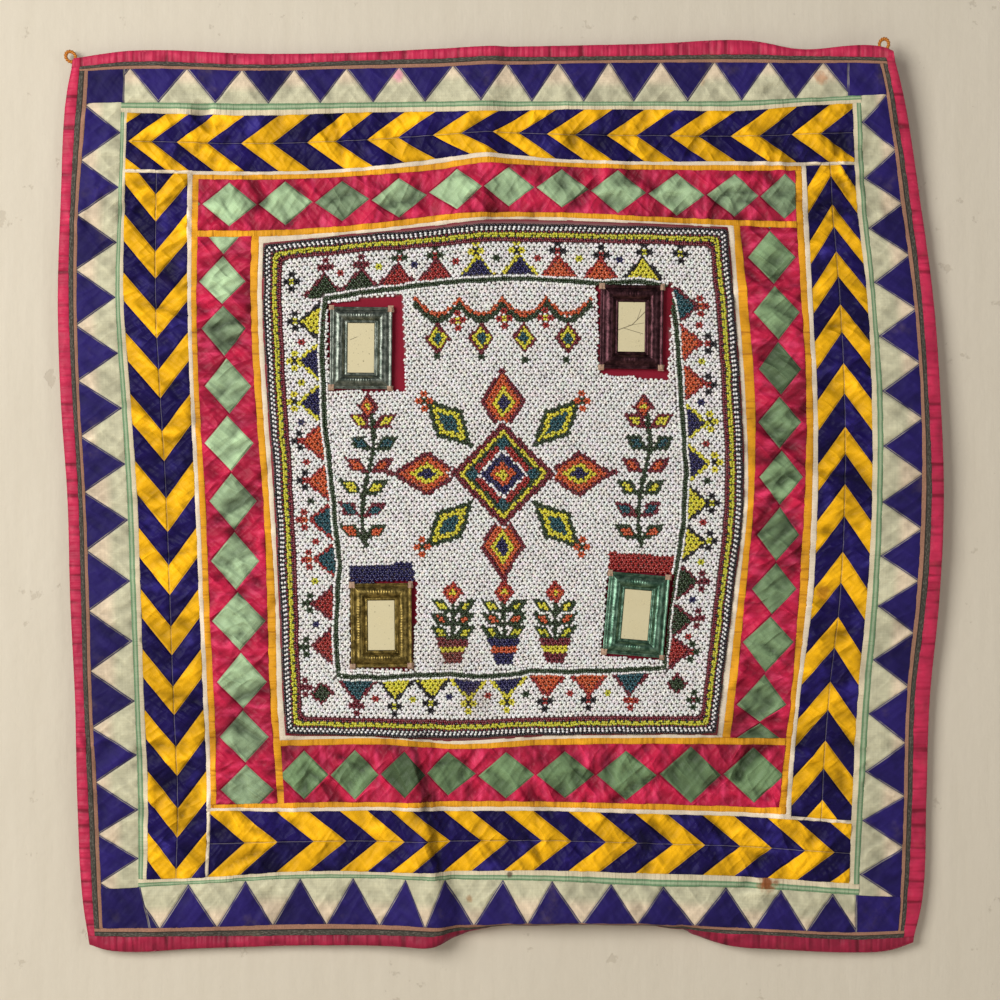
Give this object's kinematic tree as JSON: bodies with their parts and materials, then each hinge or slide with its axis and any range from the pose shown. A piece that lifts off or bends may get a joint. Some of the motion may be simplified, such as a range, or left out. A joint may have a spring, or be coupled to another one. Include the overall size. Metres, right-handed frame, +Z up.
{
  "type": "beadwork wall hanging",
  "caption": "Square patchwork wall hanging with a netted bead panel, four small framed mirrors, sawtooth, chevron and diamond bands and a crimson binding.",
  "frame": {"origin": "middle of the top edge, half way through the cloth", "axes": "X to the right as seen from the front, Z up, the front faces -Y"},
  "size_m": [0.8857, 0.0291, 0.9141],
  "materials": {
    "crimson_binding": "soft satin, gathered",
    "striped_edging": "striped tape, grey-green and salmon",
    "sawtooth_patchwork": "navy and pale sage cotton patchwork",
    "sage_framing": "cream cotton with green stitching",
    "chevron_satin": "yellow and navy satin patchwork",
    "cream_cotton": "plain cotton",
    "yellow_cotton": "plain cotton",
    "crimson_satin": "crimson satin with green satin diamonds",
    "maroon_cotton": "plain cotton ground",
    "glass_beads": "opaque glossy seed beads in a net",
    "pewter_tin": "worn pewter-grey tin",
    "maroon_tin": "worn maroon tin",
    "brass_tin": "dull pressed brass",
    "green_tin": "worn green metallic tin",
    "mirror_glass": "old silvered glass",
    "loop_thread": "twisted thread"
  },
  "bodies": {
    "root": {"binding_top": "crimson_binding", "binding_right": "crimson_binding", "binding_bottom": "crimson_binding", "binding_left": "crimson_binding", "edging_top": "striped_edging", "edging_right": "striped_edging", "edging_bottom": "striped_edging", "edging_left": "striped_edging", "sawtooth_top": "sawtooth_patchwork", "sawtooth_right": "sawtooth_patchwork", "sawtooth_bottom": "sawtooth_patchwork", "sawtooth_left": "sawtooth_patchwork", "frame_top": "sage_framing", "frame_right": "sage_framing", "frame_bottom": "sage_framing", "frame_left": "sage_framing", "chevron_top": "chevron_satin", "chevron_right": "chevron_satin", "chevron_bottom": "chevron_satin", "chevron_left": "chevron_satin", "cream_top": "cream_cotton", "cream_right": "cream_cotton", "cream_bottom": "cream_cotton", "cream_left": "cream_cotton", "yellow_outer_top": "yellow_cotton", "yellow_outer_right": "yellow_cotton", "yellow_outer_bottom": "yellow_cotton", "yellow_outer_left": "yellow_cotton", "diamond_top": "crimson_satin", "diamond_right": "crimson_satin", "diamond_bottom": "crimson_satin", "diamond_left": "crimson_satin", "yellow_inner_top": "yellow_cotton", "yellow_inner_right": "yellow_cotton", "yellow_inner_bottom": "yellow_cotton", "yellow_inner_left": "yellow_cotton", "cream_inner_top": "cream_cotton", "cream_inner_right": "cream_cotton", "cream_inner_bottom": "cream_cotton", "cream_inner_left": "cream_cotton", "ground_cloth": "maroon_cotton", "bead_panel": "glass_beads", "mirror_frame_upper_left": "pewter_tin", "mirror_frame_upper_right": "maroon_tin", "mirror_frame_lower_left": "brass_tin", "mirror_frame_lower_right": "green_tin", "mirror_glass_upper_left": "mirror_glass", "mirror_glass_upper_right": "mirror_glass", "mirror_glass_lower_left": "mirror_glass", "mirror_glass_lower_right": "mirror_glass", "hanging_loop_left": "loop_thread", "hanging_loop_right": "loop_thread"}
  },
  "joints": []
}
